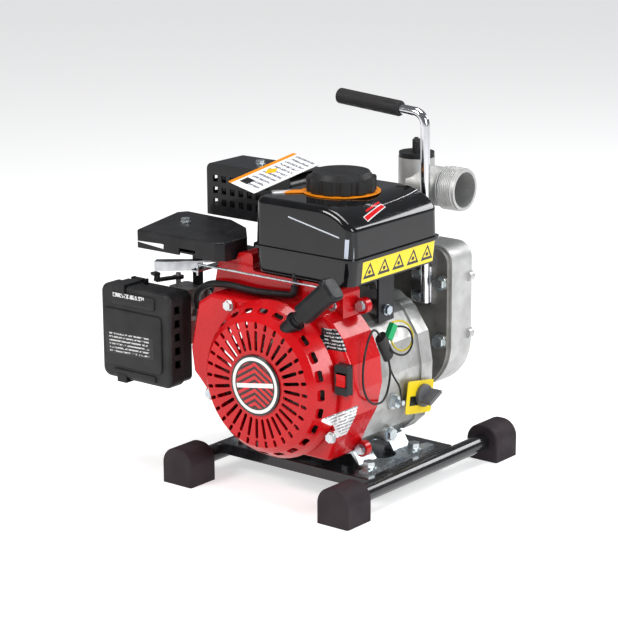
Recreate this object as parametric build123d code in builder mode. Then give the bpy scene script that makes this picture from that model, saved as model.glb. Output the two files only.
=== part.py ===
from build123d import *
import math
import os

os.makedirs("parts", exist_ok=True)

# A portable water pump driven by a small air-cooled petrol engine, on a tubular base.
# The crankshaft runs along Y: the recoil starter is at the front (-Y) and the pump at
# the rear (+Y).  The air cleaner is on the left (-X).  All lengths are in millimetres.

# Driving dimensions
base_x = 133.0          # middle of the base to the outside of a foot, across
base_y = 163.4          # middle of the base to the outside of a foot, along
foot_x = 42.8
foot_y = 42.5
foot_arch = 19.0        # radius of a foot's rounded top
foot_top = 42.5
rail_r = 10.0
rail_x = 111.6
rail_z = 22.0
deck_z = 34.0           # top of the cross channel
sheet = 3.0

crank_x = -4.0
crank_z = 135.0
shaft_r = 11.0
running = 0.06          # radial clearance of a running fit
stroke = 42.0
bore_r = 27.0
lean = 45.0             # the cylinder leans this far to the left of upright, degrees
case_front = -64.0
case_rear = 46.0
cover_rear = 68.0

fan_front = -118.0
lobe_front = -94.0
recoil_front = -150.0

tank_left = -49.0
tank_right = 95.0
tank_front = -106.5
tank_rear = 62.0
tank_bottom = 249.0
tank_seam = 278.0
tank_top = 333.0
cap_x = 15.0
cap_y = -22.0

pump_front = 90.0
pump_rear = 134.0
pump_left = -96.0
pump_right = 88.0
pump_bottom = 82.0
pump_top = 258.0
tower_x = 20.0
tower_y = 113.0
port_z = 321.0
port_r = 23.9           # outside of a 1 1/2 inch pipe thread
port_bore = 20.4
port_end = 88.0
thread_long = 22.0      # threaded length of each port
neck_r = 22.7           # plain stub behind the thread

overall_left = -255.0   # outside of the air cleaner

# The stored frame stands at the middle of the overall width, on the ground.
to_origin = Location((-(overall_left + base_x) / 2, 0, 0))


def keep(piece, node):
    """Name a finished piece and write it in the stored frame."""
    piece.part.label = node
    export_step(piece.part.moved(to_origin), f"parts/{node}.step")


def front(y):
    """Sketch plane that faces -Y at the given y, with X across and Z up."""
    return Plane.XZ.offset(-y)


def side(x):
    """Sketch plane that faces +X at the given x, with Y across and Z up."""
    return Plane.YZ.offset(x)


def level(z):
    """Sketch plane that faces up at the given z."""
    return Plane.XY.offset(z)


def seat(x, y, z, toward):
    """Plane at a point, facing along the given direction."""
    return Plane(origin=(x, y, z), z_dir=toward)


def prism(plane, points, depth, mode=Mode.ADD):
    """Extrude a closed polygon out of the plane."""
    with BuildSketch(plane) as outline:
        with BuildLine():
            Polyline(*points, close=True)
        make_face()
    extrude(outline.sketch, amount=depth, mode=mode)


def rounded_prism(plane, points, corner, depth, grow=0.0, mode=Mode.ADD):
    """Extrude a closed polygon with rounded corners out of the plane."""
    with BuildSketch(plane) as outline:
        with BuildLine():
            Polyline(*points, close=True)
        make_face()
        fillet(outline.vertices(), corner)
        if grow:
            offset(amount=grow)
    extrude(outline.sketch, amount=depth, mode=mode)


def disc(plane, radius, depth, mode=Mode.ADD):
    """Extrude a circle at the plane's origin out of the plane."""
    with BuildSketch(plane) as outline:
        Circle(radius)
    extrude(outline.sketch, amount=depth, mode=mode)


def ring(plane, outer, inner, depth):
    """Extrude a flat ring at the plane's origin out of the plane."""
    with BuildSketch(plane) as outline:
        Circle(outer)
        Circle(inner, mode=Mode.SUBTRACT)
    extrude(outline.sketch, amount=depth)


def block(low, high, mode=Mode.ADD):
    """Box between two corners."""
    middle = [(a + b) / 2 for a, b in zip(low, high)]
    with Locations(Location(tuple(middle))):
        Box(high[0] - low[0], high[1] - low[1], high[2] - low[2], mode=mode)


def turned(points):
    """Revolve an outline of (radius, y) points about the crankshaft's axis."""
    with BuildSketch(level(crank_z)) as outline:
        with BuildLine():
            Polyline(*[(crank_x + r, y) for r, y in points], close=True)
        make_face()
    revolve(outline.sketch, axis=crank_axis)


def flange_bolt(plane, size, shank):
    """Hexagon flange bolt seated on the plane, with its head outwards."""
    disc(plane, size * 1.05, size * 0.2)
    with BuildSketch(plane.offset(size * 0.2)) as head:
        RegularPolygon(size * 0.92, 6)
    extrude(head.sketch, amount=size * 0.65)
    disc(plane, size / 2, -shank)


def drill(planes, radius, depth):
    """Round holes that start a little outside each plane and go into the piece."""
    for plane in planes:
        disc(plane.offset(1), radius, -(depth + 1), mode=Mode.SUBTRACT)


def around_crank(radius, degrees):
    """Point (x, z) at a radius and angle about the crankshaft."""
    angle = math.radians(degrees)
    return crank_x + radius * math.cos(angle), crank_z + radius * math.sin(angle)


crank_axis = Axis((crank_x, 0, crank_z), (0, 1, 0))
crank_front = Plane(origin=(crank_x, 0, crank_z), x_dir=(1, 0, 0), z_dir=(0, -1, 0))


def crank_plane(y):
    """Plane square to the crankshaft at y, centred on it and facing -Y."""
    return crank_front.offset(-y)


lean_rad = math.radians(lean)
bore_dir = (-math.sin(lean_rad), 0, math.cos(lean_rad))
bore_plane = Plane(origin=(crank_x, 0, crank_z), x_dir=(0, 1, 0), z_dir=bore_dir)

# ---------------------------------------------------------------- base frame

for label, x in (("rail_left", -rail_x), ("rail_right", rail_x)):
    with BuildPart() as rail:
        with BuildSketch(front(base_y - 8)):
            with Locations((x, rail_z)):
                Circle(rail_r)
                Circle(rail_r - 1.8, mode=Mode.SUBTRACT)
        extrude(amount=2 * (base_y - 8))
    keep(rail, label)

for label, sx, sy in (
    ("foot_front_left", -1, -1),
    ("foot_front_right", 1, -1),
    ("foot_rear_left", -1, 1),
    ("foot_rear_right", 1, 1),
):
    outer_y = base_y if sy > 0 else foot_y - base_y
    with BuildPart() as foot:
        with BuildSketch(front(outer_y)) as outline:
            with Locations((sx * (base_x - foot_x / 2), foot_top / 2)):
                Rectangle(foot_x, foot_top)
            fillet(outline.vertices().group_by(Axis.Y)[-1], radius=foot_arch)
        extrude(amount=foot_y)
        ends = foot.faces().filter_by(Axis.Y).edges()
        fillet([edge for edge in ends if edge.center().Z > 1], radius=2.5)
        with BuildSketch(front(sy * (base_y - 8))):
            with Locations((sx * rail_x, rail_z)):
                Circle(rail_r)
        extrude(amount=sy * foot_y, mode=Mode.SUBTRACT)
    keep(foot, label)

deck_front = -94.0
deck_rear = 62.0
bracket_bolts = [(x, y) for x in (-88, 88) for y in (-66, 18)]
with BuildPart() as cross_channel:
    flange = deck_z - 13
    rounded_prism(
        side(2 - rail_x),
        [
            (deck_front, deck_z), (deck_rear, deck_z), (deck_rear, flange), (deck_rear - sheet, flange),
            (deck_rear - sheet, deck_z - sheet), (deck_front + sheet, deck_z - sheet),
            (deck_front + sheet, flange), (deck_front, flange),
        ],
        1.2,
        2 * rail_x - 4,
    )
    for x in (-rail_x, rail_x):
        with BuildSketch(front(deck_rear + 5)):
            with Locations((x, rail_z)):
                Circle(rail_r)
        extrude(amount=deck_rear - deck_front + 10, mode=Mode.SUBTRACT)
    drill([seat(x, y, deck_z, (0, 0, 1)) for x, y in bracket_bolts], 4.1, 6)
keep(cross_channel, "cross_channel")

# Pressed steel bracket between the channel and the engine's mounting face
mount_z = 51.0
bracket_front = -84.0
bracket_rear = 44.0
engine_bolts = [(x, y) for x in (-48, 46) for y in (-50, 30)]
with BuildPart() as engine_bracket:
    prism(
        front(bracket_rear),
        [
            (-98, deck_z), (-98, deck_z + sheet), (-76, deck_z + sheet), (-66, mount_z),
            (66, mount_z), (76, deck_z + sheet), (98, deck_z + sheet), (98, deck_z),
            (74, deck_z), (64, mount_z - sheet), (-64, mount_z - sheet), (-74, deck_z),
        ],
        bracket_rear - bracket_front,
    )
    for y in (-84, -20, 44):
        for x in (-70, 70):
            with Locations(Location((x, y, deck_z + 6))):
                Cylinder(radius=17, height=60, mode=Mode.SUBTRACT)
    with Locations(Location((0, bracket_front, mount_z))):
        Cylinder(radius=34, height=20, mode=Mode.SUBTRACT)
    with BuildSketch(level(mount_z + 1)):
        with Locations((0, -10)):
            SlotOverall(76, 34)
    extrude(amount=-8, mode=Mode.SUBTRACT)
    drill([seat(x, y, deck_z + sheet, (0, 0, 1)) for x, y in bracket_bolts], 4.1, 6)
    drill([seat(x, y, mount_z, (0, 0, 1)) for x, y in engine_bolts], 4.1, 6)
keep(engine_bracket, "engine_bracket")

# ---------------------------------------------------------------- engine block

case_outline = [
    (-76, mount_z), (58, mount_z), (74, 66), (83, 96), (84, 132), (78, 166), (60, 192),
]


def case_profile(grow):
    """Crankcase outline, closed by the face that carries the cylinder."""
    low = (-47.8 - 38, 178.8 - 38)
    high = (-47.8 + 34, 178.8 + 34)
    points = case_outline + [(38, 206), high, low, (-84, 110)]
    with BuildLine() as outline:
        Polyline(*points, close=True)
    make_face(outline.edges())
    if grow:
        offset(amount=grow)


dip_y = 30.0
dip_z = 98.0
case_studs = [around_crank(78, a) for a in (-118, -62, -20, 12, 47, 78, 180, 215)]
with BuildPart() as crankcase:
    with BuildSketch(front(case_rear)):
        case_profile(0)
    extrude(amount=case_rear - case_front)
    # Flange that the cover is bolted to, with a round lug at each bolt
    with BuildSketch(front(case_rear)):
        case_profile(2)
        for x, z in case_studs:
            with Locations((x, z)):
                Circle(9)
    extrude(amount=11)
    block((-100, case_front - 1, 0), (100, case_rear + 1, mount_z), mode=Mode.SUBTRACT)
    disc(crank_plane(case_rear), 64, case_rear - case_front - 12, mode=Mode.SUBTRACT)
    disc(crank_plane(case_front + 13), shaft_r + running, 20, mode=Mode.SUBTRACT)
    disc(bore_plane, bore_r + 3, 80, mode=Mode.SUBTRACT)
    # Dipstick boss, blind
    dip = seat(76, dip_y, dip_z, (1, 0, 0))
    disc(dip, 13, 14)
    disc(dip.offset(14), 9, -12, mode=Mode.SUBTRACT)
    # Bosses for the oil sensor, the drain plug and the tank bracket
    disc(seat(70, -17, 101, (1, 0, 0)), 10, 15)
    disc(seat(50, -16, 61, (1, 0, 0)), 9, 28)
    disc(seat(44, -10, 203, (1, 0, 0)), 10, 22)
    drill([seat(85, -17, 101, (1, 0, 0)), seat(78, -16, 61, (1, 0, 0))], 4.1, 12)
    drill([seat(66, -10, 203, (1, 0, 0))], 3.1, 12)
    drill([seat(x, y, mount_z, (0, 0, -1)) for x, y in engine_bolts], 4.1, 12)
    drill([seat(x, case_rear, z, (0, 1, 0)) for x, z in case_studs], 3.1, 14)
keep(crankcase, "crankcase")

adapter_studs = [around_crank(44, a) for a in (45, 135, 225, 315)]
with BuildPart() as side_cover:
    with BuildSketch(front(case_rear + 10)):
        case_profile(2)
        for x, z in case_studs:
            with Locations((x, z)):
                Circle(9)
    extrude(amount=10)
    block((-100, case_rear - 1, 0), (100, case_rear + 20, mount_z), mode=Mode.SUBTRACT)
    with BuildSketch(Plane(origin=(crank_x, case_rear + 10, crank_z), z_dir=(0, 1, 0))):
        Circle(66)
    extrude(amount=cover_rear - case_rear - 10, taper=25)
    disc(crank_plane(case_rear), 58, -6, mode=Mode.SUBTRACT)
    disc(crank_plane(case_rear + 6), 40, -10, mode=Mode.SUBTRACT)
    disc(crank_plane(cover_rear + 1), shaft_r + running, 12, mode=Mode.SUBTRACT)
    drill([seat(x, case_rear + 10, z, (0, 1, 0)) for x, z in case_studs], 3.1, 14)
    drill([seat(x, cover_rear, z, (0, 1, 0)) for x, z in adapter_studs], 3.1, 5)
keep(side_cover, "side_cover")

base_at = 62.0
barrel_end = 112.0
head_end = 136.0
valve_end = 156.0
with BuildPart() as cylinder:
    disc(bore_plane.offset(base_at), 36, barrel_end - base_at)
    with BuildSketch(bore_plane.offset(base_at)):
        RectangleRounded(70, 74, 8)
    extrude(amount=5)
    for n in range(6):
        with BuildSketch(bore_plane.offset(base_at + 11 + 7 * n)):
            RectangleRounded(86, 84, 12)
        extrude(amount=2.4)
    disc(bore_plane.offset(base_at - 1), bore_r + 0.05, barrel_end - base_at + 2, mode=Mode.SUBTRACT)
keep(cylinder, "cylinder")

plug_plane = Plane(
    origin=(crank_x + bore_dir[0] * 124, -36, crank_z + bore_dir[2] * 124),
    x_dir=(1, 0, 0),
    z_dir=(0, -1, 0),
)
head_x = crank_x + bore_dir[0] * 124
head_z = crank_z + bore_dir[2] * 124
intake_plane = Plane(
    origin=(head_x + bore_dir[0] * 43, 0, head_z - bore_dir[2] * 43),
    x_dir=(0, 1, 0),
    z_dir=(bore_dir[0], 0, -bore_dir[2]),
)
exhaust_plane = Plane(origin=(head_x, 44, head_z), x_dir=(1, 0, 0), z_dir=(0, 1, 0))
with BuildPart() as cylinder_head:
    with BuildSketch(bore_plane.offset(barrel_end)):
        RectangleRounded(72, 68, 8)
    extrude(amount=head_end - barrel_end)
    disc(exhaust_plane.offset(-14), 10.5, 14)
    disc(intake_plane.offset(-12), 10.5, 12)
    for n in range(2):
        with BuildSketch(bore_plane.offset(barrel_end + 6 + 7 * n)):
            RectangleRounded(79, 78, 10)
        extrude(amount=2.4)
    disc(bore_plane.offset(barrel_end - 1), 22, 8, mode=Mode.SUBTRACT)
    disc(plug_plane.offset(6), 5, -30, mode=Mode.SUBTRACT)
keep(cylinder_head, "cylinder_head")

with BuildPart() as valve_cover:
    with BuildSketch(bore_plane.offset(head_end)):
        RectangleRounded(66, 60, 9)
    extrude(amount=3)
    with BuildSketch(bore_plane.offset(head_end + 3)):
        RectangleRounded(56, 50, 9)
    extrude(amount=valve_end - head_end - 3, taper=8)
    fillet(valve_cover.faces().sort_by(Axis(origin=(0, 0, 0), direction=bore_dir))[-1].edges(), radius=3)
keep(valve_cover, "valve_cover")

with BuildPart() as spark_plug:
    disc(plug_plane.offset(-10), 4.9, 10)
    with BuildSketch(plug_plane.offset(5)):
        RegularPolygon(8, 6)
    extrude(amount=7)
    disc(plug_plane, 4.9, 5)
    disc(plug_plane.offset(12), 3.5, 12)
keep(spark_plug, "spark_plug")

piston_at = base_at + stroke / 2 + 4
with BuildPart() as piston:
    disc(bore_plane.offset(piston_at - 18), bore_r - 0.05, 36)
    disc(bore_plane.offset(piston_at - 19), bore_r - 4, 26, mode=Mode.SUBTRACT)
    for n in range(3):
        ring_plane = bore_plane.offset(piston_at + 14 - 4 * n)
        with BuildSketch(ring_plane):
            Circle(bore_r + 1)
            Circle(bore_r - 1.2, mode=Mode.SUBTRACT)
        extrude(amount=-1.2, mode=Mode.SUBTRACT)
keep(piston, "piston")

pin_x = crank_x + bore_dir[0] * stroke / 2
pin_z = crank_z + bore_dir[2] * stroke / 2
impeller_nose = 126.0
with BuildPart() as crankshaft:
    disc(crank_plane(-112), shaft_r, -(112 - 16))
    disc(crank_plane(16), shaft_r, -(impeller_nose - 16))
    for y in (-16, 7):
        with BuildSketch(front(y + 9)):
            with Locations((crank_x, crank_z)):
                Circle(26)
            with Locations((pin_x, pin_z)):
                Circle(14)
            with Locations((crank_x - bore_dir[0] * 20, crank_z - bore_dir[2] * 20)):
                Circle(26)
        extrude(amount=9)
    with BuildSketch(front(8)):
        with Locations((pin_x, pin_z)):
            Circle(9)
    extrude(amount=16)
keep(crankshaft, "crankshaft")

fan_blades = 16
with BuildPart() as flywheel:
    ring(crank_plane(-76), 76, shaft_r, 14)
    ring(crank_plane(-90), 22, shaft_r, 14)
    with BuildSketch(crank_plane(-90)):
        with PolarLocations(60, fan_blades):
            Rectangle(26, 3, rotation=20)
    extrude(amount=14)
    # Starter cup and nut on the front
    ring(crank_plane(-104), 30, shaft_r, 3)
    ring(crank_plane(-107), 30, 26, 12)
    with BuildSketch(crank_plane(-107)):
        RegularPolygon(14, 6)
        Circle(shaft_r, mode=Mode.SUBTRACT)
    extrude(amount=8)
keep(flywheel, "flywheel")

# ---------------------------------------------------------------- fan cover and recoil starter

volute = [
    (-50, 53), (-100, 98), (-124, 122), (-128, 150), (-116, 205), (-96, 218),
    (64, 218), (74, 210), (88, 195), (101, 168), (104, 138), (97, 108), (80, 76), (71, 53),
]
lobe = [
    (-114, 205), (-104, 250), (-98, 254), (-79, 254), (-74, 264), (-54, 265),
    (-54, 245), (70, 245), (73, 238), (73, 205),
]
cover_tabs = [(81, 58), (-83.5, 73), (81, 222), (-120, 216)]
wall = 2.6
pull_angle = math.radians(41)
pull_dir = (math.cos(pull_angle), 0, math.sin(pull_angle))
pulley_r = 26.0
rope_r = 1.75
rope_offset = pulley_r + rope_r + 0.35


def on_pull(s):
    """Point on the starter rope's line, s from where it leaves the pulley."""
    x = crank_x - math.sin(pull_angle) * rope_offset + math.cos(pull_angle) * s
    z = crank_z + math.cos(pull_angle) * rope_offset + math.sin(pull_angle) * s
    return x, -138, z


def pull_plane(s):
    """Plane square to the starter rope, facing away from the pulley."""
    return Plane(origin=on_pull(s), x_dir=(0, -1, 0), z_dir=pull_dir)


control_bolt = (-183, -60)
lobe_bolt = (-92, -80)
arm_x = 64.0
arm_pivot_z = 226.0
arm_y = -104.0
recoil_bolts = [around_crank(97, a) for a in (130, 200, 328)]
with BuildPart() as fan_cover:
    rounded_prism(front(case_front), volute, 5, case_front - fan_front)
    rounded_prism(front(case_front), lobe, 4, case_front - lobe_front)
    fillet(fan_cover.faces().filter_by(Axis.Y).sort_by(Axis.Y)[0].outer_wire().edges(), radius=5)
    rounded_prism(front(case_front), volute, 5, case_front - fan_front - wall, -wall, Mode.SUBTRACT)
    rounded_prism(front(case_front), lobe, 4, case_front - lobe_front - wall, -wall, Mode.SUBTRACT)
    disc(crank_plane(fan_front + 5), 80, 10, mode=Mode.SUBTRACT)
    # Tabs at the rear edge that the cover is bolted on by
    for x, z in cover_tabs:
        with BuildSketch(front(case_front)):
            with Locations((x, z)):
                Circle(9)
        extrude(amount=8)
        with BuildSketch(front(case_front)):
            with Locations((x, z)):
                Circle(3.1)
        extrude(amount=8, mode=Mode.SUBTRACT)
    drill([seat(x, fan_front, z, (0, -1, 0)) for x, z in recoil_bolts], 3.1, 5)
    drill([seat(*lobe_bolt, 254, (0, 0, 1))], 3.1, 4)
    # Post on the upper part that the governor arm turns on
    disc(seat(arm_x, lobe_front, arm_pivot_z, (0, -1, 0)), 5, 7.4)
    disc(seat(arm_x, lobe_front, arm_pivot_z, (0, -1, 0)), 2.5, 12)
keep(fan_cover, "fan_cover")

rim_rear = fan_front
recoil_wall = 2.6
with BuildPart() as recoil_cover:
    turned([
        (90, rim_rear), (90, -122), (85, -132), (78, -143), (71, recoil_front), (0, recoil_front),
        (0, recoil_front + recoil_wall), (70, recoil_front + recoil_wall), (75.5, -141.5),
        (82.2, -131), (87, -121), (87, rim_rear),
    ])
    for x, z in recoil_bolts:
        with BuildSketch(front(rim_rear)):
            with Locations((x, z)):
                Circle(8)
        extrude(amount=3)
    disc(crank_plane(rim_rear), 87, 3, mode=Mode.SUBTRACT)
    disc(crank_plane(-128), 9, 20)
    with BuildSketch(crank_plane(recoil_front - 10)):
        with PolarLocations(50, 32):
            SlotOverall(23, 4)
        with PolarLocations(67.5, 32):
            SlotOverall(8, 4)
    extrude(amount=-14, mode=Mode.SUBTRACT)
    with BuildSketch(crank_plane(-150)):
        with PolarLocations(81, 24):
            SlotOverall(13, 4.6, rotation=90)
    extrude(amount=-26, mode=Mode.SUBTRACT)
    disc(pull_plane(58), 8.6, 40, mode=Mode.SUBTRACT)
    drill([seat(x, rim_rear - 3, z, (0, -1, 0)) for x, z in recoil_bolts], 3.1, 8)
keep(recoil_cover, "recoil_cover")

badge_r = 34.3
with BuildPart() as badge:
    disc(crank_plane(recoil_front), badge_r, 2.4)
    fillet(badge.faces().sort_by(Axis.Y)[0].edges(), radius=0.8)
keep(badge, "badge")

with BuildPart() as rope_pulley:
    ring(crank_plane(-132.5), 33, 9 + running, 2.5)
    ring(crank_plane(-135), pulley_r, 9 + running, 6)
    ring(crank_plane(-141), 33, 9 + running, 2.5)
keep(rope_pulley, "rope_pulley")

collar_in = 66.0
collar_out = 92.0
with BuildPart() as rope_collar:
    ring(pull_plane(collar_in), 8.4, 2.3, collar_out - collar_in)
    ring(pull_plane(84), 11, 2.3, 3)
keep(rope_collar, "rope_collar")

grip_start = 93.0
grip_end = 155.0
with BuildPart() as starter_rope:
    disc(pull_plane(0), rope_r, grip_start)
keep(starter_rope, "starter_rope")

with BuildPart() as starter_grip:
    with BuildSketch(pull_plane(grip_start)):
        RectangleRounded(16, 16, 6)
    extrude(amount=8)
    with BuildSketch(pull_plane(grip_start + 8)):
        RectangleRounded(19, 24, 7)
    extrude(amount=grip_end - grip_start - 16)
    with BuildSketch(pull_plane(grip_end - 8)):
        RectangleRounded(22, 28, 8)
    extrude(amount=8)
    fillet(starter_grip.faces().sort_by(Axis(origin=(0, 0, 0), direction=pull_dir))[-1].edges(), radius=3)
keep(starter_grip, "starter_grip")

# Engine switch on the fan cover, with a rocker that turns about X
switch_x = 95.8
switch_z = 153.0
rocker_y = fan_front - 7
with BuildPart() as switch_base:
    block((switch_x - 9, fan_front - 9, switch_z - 17), (switch_x + 9, fan_front, switch_z + 17))
    fillet(switch_base.edges().filter_by(Axis.Y), radius=3)
    with BuildSketch(side(switch_x - 6.4)):
        with Locations((rocker_y, switch_z)):
            Circle(8.5)
    extrude(amount=12.8, mode=Mode.SUBTRACT)
    block((switch_x - 9, fan_front - 1, switch_z - 17), (switch_x + 9, fan_front, switch_z + 17))
keep(switch_base, "switch_base")

with BuildPart() as switch_rocker:
    rock = [(4, 4.5), (-4, 6.8), (-2.8, 0), (-4, -6.8), (4, -4.5)]
    prism(side(switch_x - 6), [(rocker_y + y, switch_z + z) for y, z in rock], 12)
keep(switch_rocker, "switch_rocker")

dip_face = 90.0
with BuildPart() as oil_tag:
    with BuildSketch(side(dip_face)):
        with Locations(Location((25, 97, 0), (0, 0, -9))):
            RectangleRounded(50, 38, 3)
        with Locations((dip_y, dip_z)):
            Circle(9.4, mode=Mode.SUBTRACT)
    extrude(amount=0.8)
keep(oil_tag, "oil_tag")

with BuildPart() as dipstick:
    disc(dip.offset(14 - 10), 9 - running, 11.2)
    disc(dip.offset(15.2), 13, 5)
    fillet(dipstick.edges().filter_by(GeomType.CIRCLE).sort_by(Axis.X)[-1], radius=1)
    with BuildSketch(side(dip_face + 6)):
        with Locations(Location((dip_y, dip_z, 0), (0, 0, 25))):
            RectangleRounded(25, 4.4, 1.5)
    extrude(amount=14)
keep(dipstick, "dipstick")

with BuildPart() as oil_sensor:
    flange_bolt(seat(85, -17, 101, (1, 0, 0)), 8, 10)
    disc(seat(85 + 6.8, -17, 101, (1, 0, 0)), 3, 7)
keep(oil_sensor, "oil_sensor")

# ---------------------------------------------------------------- air cleaner and carburettor

clean_left = overall_left
clean_right = -147.0
clean_front = -130.0
clean_split = -108.0
clean_rear = -92.0
clean_bottom = 97.0
clean_top = 209.0
carb_x = -172.0
carb_z = 188.0
clip_x = -222.0
clip_y = -98.0
clean_middle = ((clean_left + clean_right) / 2, (clean_bottom + clean_top) / 2)
clean_size = (clean_right - clean_left, clean_top - clean_bottom)

with BuildPart() as air_cleaner_cover:
    with BuildSketch(front(clean_split)):
        with Locations(clean_middle):
            RectangleRounded(*clean_size, 11)
    extrude(amount=clean_split - clean_front)
    fillet(air_cleaner_cover.faces().sort_by(Axis.Y)[0].edges(), radius=5)
    with BuildSketch(front(clean_split)):
        with Locations(clean_middle):
            RectangleRounded(clean_size[0] - 5, clean_size[1] - 5, 8.5)
    extrude(amount=clean_split - clean_front - 2.5, mode=Mode.SUBTRACT)
    # Louvres in the right-hand side
    for n in range(5):
        z = clean_bottom + 24 + 16 * n
        block(
            (clean_right - 8, clean_front + 7, z),
            (clean_right + 1, clean_split - 5, z + 9),
            mode=Mode.SUBTRACT,
        )
keep(air_cleaner_cover, "air_cleaner_cover")

with BuildPart() as air_filter:
    with BuildSketch(front(clean_split)):
        with Locations(clean_middle):
            RectangleRounded(clean_size[0] - 24, clean_size[1] - 12, 6)
    extrude(amount=15)
keep(air_filter, "air_filter")

with BuildPart() as air_cleaner_base:
    with BuildSketch(front(clean_rear)):
        with Locations(clean_middle):
            RectangleRounded(clean_size[0] - 4, clean_size[1] - 4, 9)
    extrude(amount=clean_rear - clean_split)
    with BuildSketch(front(clean_rear - 3)):
        with Locations(clean_middle):
            RectangleRounded(clean_size[0] - 10, clean_size[1] - 10, 7)
    extrude(amount=clean_rear - clean_split, mode=Mode.SUBTRACT)
    disc(seat(carb_x, clean_rear, carb_z, (0, -1, 0)).offset(-1), 14, 5, mode=Mode.SUBTRACT)
    for sign, edge in ((1, clean_top - 2), (-1, clean_bottom + 2)):
        pin_at = edge + sign * 3.4
        for x in (clip_x - 11, clip_x + 8.4):
            low, high = sorted((edge - sign, edge + sign * 5.5))
            block((x, clip_y - 3, low), (x + 2.6, clip_y + 3, high))
        with BuildSketch(side(clip_x - 10)):
            with Locations((clip_y, pin_at)):
                Circle(1.2)
        extrude(amount=20)
keep(air_cleaner_base, "air_cleaner_base")

for label, sign, edge in (("top_clip", 1, clean_top), ("bottom_clip", -1, clean_bottom)):
    pin_at = edge + sign * 1.4
    with BuildPart() as clip:
        low, high = sorted((edge + sign * 0.5, edge + sign * 2.6))
        block((clip_x - 7, clean_front - 2.6, low), (clip_x + 7, clip_y, high))
        low, high = sorted((edge - sign * 7, edge + sign * 2.6))
        block((clip_x - 7, clean_front - 2.6, low), (clip_x + 7, clean_front - 0.5, high))
        with BuildSketch(side(clip_x - 7)):
            with Locations((clip_y, pin_at)):
                Circle(2.6)
        extrude(amount=14)
        with BuildSketch(side(clip_x - 8)):
            with Locations((clip_y, pin_at)):
                Circle(1.2 + running)
        extrude(amount=16, mode=Mode.SUBTRACT)
    keep(clip, label)

choke_x = -180.0
choke_y = -78.0
carb_top = 206.0
carb_rear = -52.0
inlet = (-150.0, -78.0, 184.0)
with BuildPart() as carburettor:
    block((carb_x - 16, clean_rear + 4, 168), (carb_x + 16, carb_rear - 4, carb_top))
    fillet(carburettor.edges().filter_by(Axis.Z), radius=5)
    for y in (clean_rear, carb_rear - 4):
        with BuildSketch(front(y + 4)):
            with Locations((carb_x, carb_z)):
                SlotOverall(46, 30)
        extrude(amount=4)
    with Locations(Location((carb_x, (clean_rear + carb_rear) / 2, 155))):
        Cylinder(radius=16, height=30)
    with Locations(Location((choke_x, choke_y, carb_top + 7))):
        Cylinder(radius=3, height=16)
    block((carb_x + 10, inlet[1] - 4, 174), (inlet[0] + 4, inlet[1] + 4, 180))
    with Locations(Location((inlet[0], inlet[1], 182))):
        Cylinder(radius=3, height=4)
    with BuildSketch(front(carb_rear + 1)):
        with Locations((carb_x, carb_z)):
            Circle(9)
    extrude(amount=carb_rear - clean_rear + 2, mode=Mode.SUBTRACT)
keep(carburettor, "carburettor")

with BuildPart() as intake_elbow:
    start = intake_plane.origin
    back = intake_plane.z_dir * 20
    with BuildLine() as run:
        FilletPolyline(
            (carb_x, carb_rear, carb_z),
            (carb_x, start.Y, carb_z),
            (start.X + back.X, start.Y, start.Z + back.Z),
            (start.X, start.Y, start.Z),
            radius=[14, 9],
        )
    with BuildSketch(Plane(origin=run.line @ 0, z_dir=run.line % 0)):
        Circle(12)
    sweep()
    with BuildSketch(front(carb_rear + 4)):
        with Locations((carb_x, carb_z)):
            SlotOverall(46, 30)
    extrude(amount=4)
keep(intake_elbow, "intake_elbow")

with BuildPart() as choke_lever:
    with BuildSketch(level(carb_top + 8.5)):
        with Locations((choke_x, choke_y)):
            Circle(6.5)
        with Locations(Location((choke_x - 5, choke_y - 14, 0), (0, 0, 70))):
            Rectangle(30, 8)
    extrude(amount=3)
    with Locations(Location((choke_x - 9.4, choke_y - 26, carb_top + 14), (0, 0, -20))):
        Box(9, 3, 11)
    with Locations(Location((choke_x - 9.4, choke_y - 28.5, carb_top + 18), (0, 0, -20))):
        Box(9, 8, 3)
    with Locations(Location((choke_x, choke_y, carb_top + 10))):
        Cylinder(radius=3 + running, height=12, mode=Mode.SUBTRACT)
keep(choke_lever, "choke_lever")

# ---------------------------------------------------------------- throttle control

bracket_z = 254.0
throttle_x = -122.0
throttle_y = -52.0
throttle_z = 238.0
rod_y = -110.0
rod_z = 246.0
rod_r = 1.3
with BuildPart() as control_bracket:
    block((-204, -106, bracket_z), (-82, -36, bracket_z + 2))
    # Strap that stands on the carburettor
    block((-170, -64, carb_top), (-156, -62, bracket_z))
    with Locations(Location((throttle_x, throttle_y, bracket_z - 9))):
        Cylinder(radius=3, height=18)
    for x, y in (control_bolt, lobe_bolt):
        drill([seat(x, y, bracket_z + 2, (0, 0, 1))], 3.1, 4)
keep(control_bracket, "control_bracket")

cover_outline = [
    (-203, -122), (-229, -24), (-222, -12), (-150, -16), (-112, -36), (-82, -70), (-79, -112), (-88, -120),
]
cover_top = 277.0
with BuildPart() as control_cover:
    rounded_prism(level(bracket_z + 2), cover_outline, 4, cover_top - bracket_z - 2)
    fillet(control_cover.faces().sort_by(Axis.Z)[-1].outer_wire().edges(), radius=2.5)
    rounded_prism(level(bracket_z + 2), cover_outline, 4, cover_top - bracket_z - 4.5, -2.4, Mode.SUBTRACT)
    with Locations(Location((*control_bolt, (bracket_z + 2 + cover_top - 1) / 2))):
        Cylinder(radius=6, height=cover_top - 1 - bracket_z - 2)
    drill([seat(*control_bolt, cover_top, (0, 0, 1))], 3.1, 30)
    # Cut-out in the front skirt for the throttle lever
    block((-140, -125, 250), (-116, -110, 264), mode=Mode.SUBTRACT)
keep(control_cover, "control_cover")

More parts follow.
